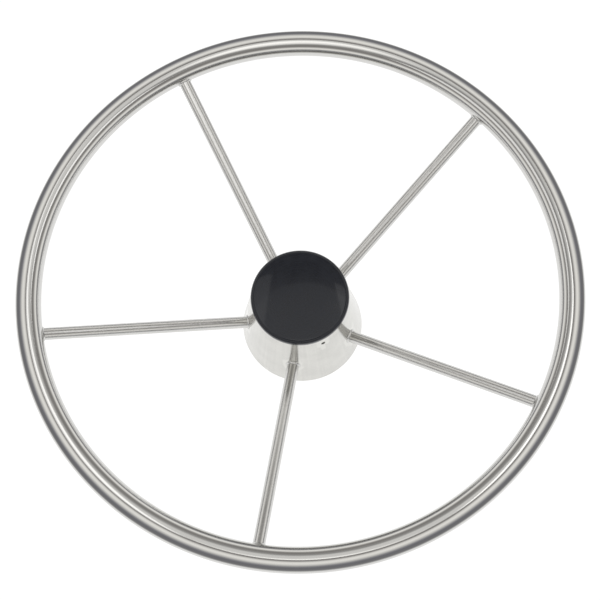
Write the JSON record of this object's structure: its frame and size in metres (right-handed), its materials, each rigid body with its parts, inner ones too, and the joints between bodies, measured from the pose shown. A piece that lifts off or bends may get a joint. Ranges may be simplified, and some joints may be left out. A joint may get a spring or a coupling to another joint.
{
  "type": "ship steering wheel",
  "caption": "Boat steering wheel: a round polished tube rim on straight rods that rise from a conical hub with a tapered shaft bore and a push-in domed centre cap.",
  "frame": {"origin": "centre of the hub's back plane, on the wheel's axis", "axes": "+Z along the wheel's axis towards the driver, spoke_1 along -Y, +X to the driver's right when spoke_1 points down"},
  "size_m": [0.394, 0.3938, 0.087],
  "materials": {
    "rim_steel": "mirror polished stainless",
    "spoke_steel": "polished stainless rod",
    "hub_steel": "polished spun stainless, soft streaks down the cone",
    "weld_steel": "cleaned weld bead",
    "inner_steel": "turned stainless, unpolished",
    "inner_weld_steel": "uncleaned weld bead",
    "fastener_steel": "bright stainless",
    "screw_steel": "dull stainless",
    "cap_plastic": "gloss black",
    "nylon": "natural nylon"
  },
  "bodies": {
    "wheel": {"rim_tube": "rim_steel", "spoke_1": "spoke_steel", "spoke_2": "spoke_steel", "spoke_3": "spoke_steel", "spoke_4": "spoke_steel", "spoke_5": "spoke_steel", "rim_weld_1": "weld_steel", "rim_weld_2": "weld_steel", "rim_weld_3": "weld_steel", "rim_weld_4": "weld_steel", "rim_weld_5": "weld_steel", "hub_weld_1": "weld_steel", "hub_weld_2": "weld_steel", "hub_weld_3": "weld_steel", "hub_weld_4": "weld_steel", "hub_weld_5": "weld_steel", "boss_weld_1": "inner_weld_steel", "boss_weld_2": "inner_weld_steel", "boss_weld_3": "inner_weld_steel", "boss_weld_4": "inner_weld_steel", "boss_weld_5": "inner_weld_steel", "boss_plate_weld": "inner_weld_steel", "shell_plate_weld": "inner_weld_steel", "seat_ring_weld": "inner_weld_steel", "hub_shell": "hub_steel", "hub_boss": "inner_steel", "hub_back_plate": "inner_steel", "cap_seat_ring": "inner_steel"},
    "cap": {"centre_cap": "cap_plastic"},
    "washer": {"shaft_washer": "fastener_steel"},
    "nut": {"shaft_nut": "fastener_steel", "nut_lock_ring": "nylon"},
    "set_screw": {"cap_set_screw": "screw_steel"}
  },
  "joints": [
    {"name": "cap_lift", "type": "slide", "parent": "wheel", "child": "cap", "axis": [0, 0, 1], "range_m": [0, 0.04]},
    {"name": "washer_rise", "type": "slide", "parent": "wheel", "child": "washer", "axis": [0, 0, 1], "range_m": [0, 0.01272]},
    {"name": "nut_turn", "type": "hinge", "parent": "washer", "child": "nut", "pos_m": [0, 0, 0.0345], "axis": [0, 0, 1], "range_deg": [0, 3240]},
    {"name": "set_screw_back_out", "type": "slide", "parent": "wheel", "child": "set_screw", "axis": [0.5878, -0.809, 0], "range_m": [0, 0.0025]}
  ],
  "couplings": [
    {"joint": "washer_rise", "follows": "nut_turn", "m_per_rad": 0.00022458}
  ]
}
